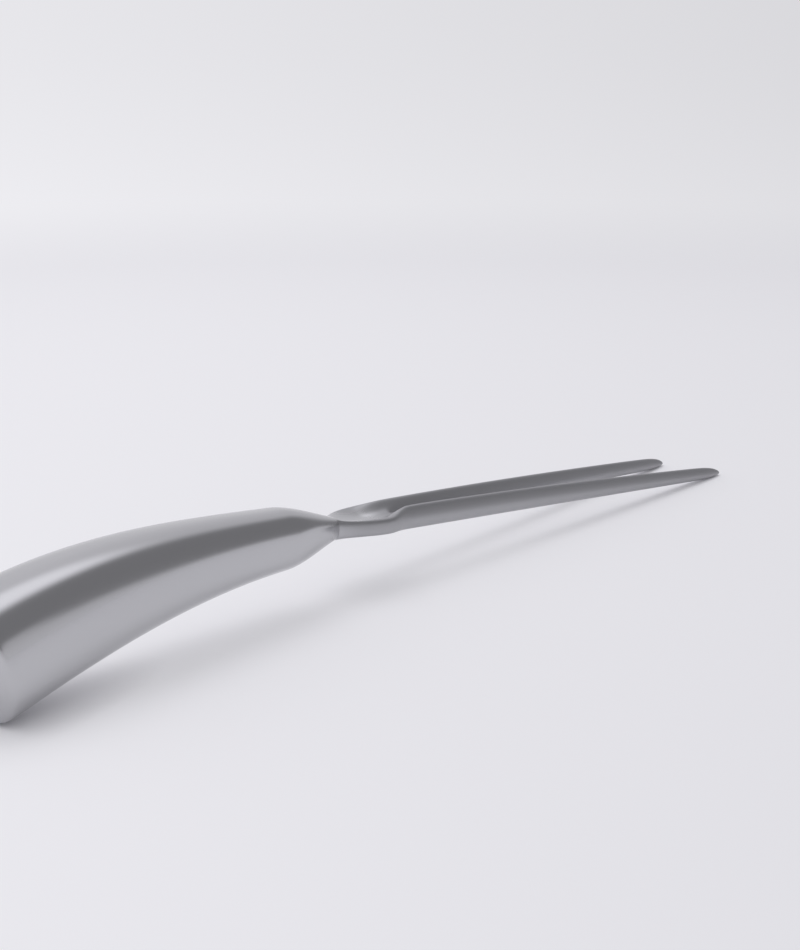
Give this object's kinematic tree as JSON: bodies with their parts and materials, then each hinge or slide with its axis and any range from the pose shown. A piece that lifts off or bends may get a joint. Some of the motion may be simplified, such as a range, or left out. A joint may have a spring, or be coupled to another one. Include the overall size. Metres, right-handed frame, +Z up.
{
  "type": "carving fork",
  "caption": "Satin steel carving fork with two splayed tines, a leaf-shaped dished shoulder and a fat hollow handle that flares to a flat butt.",
  "frame": {"origin": "middle of the bottom of the fork's box, on the table that it lies on", "axes": "+X from the butt to the tips, +Y to the fork's left, +Z up from the table"},
  "size_m": [0.2926, 0.0266, 0.0308],
  "materials": {
    "satin_steel": "satin, brushed along its length",
    "cement": "set filler, out of sight"
  },
  "bodies": {
    "root": {"fork_head": "satin_steel", "handle_shell_left": "satin_steel", "handle_shell_right": "satin_steel", "end_cap": "satin_steel", "tang_cement": "cement"}
  },
  "joints": []
}
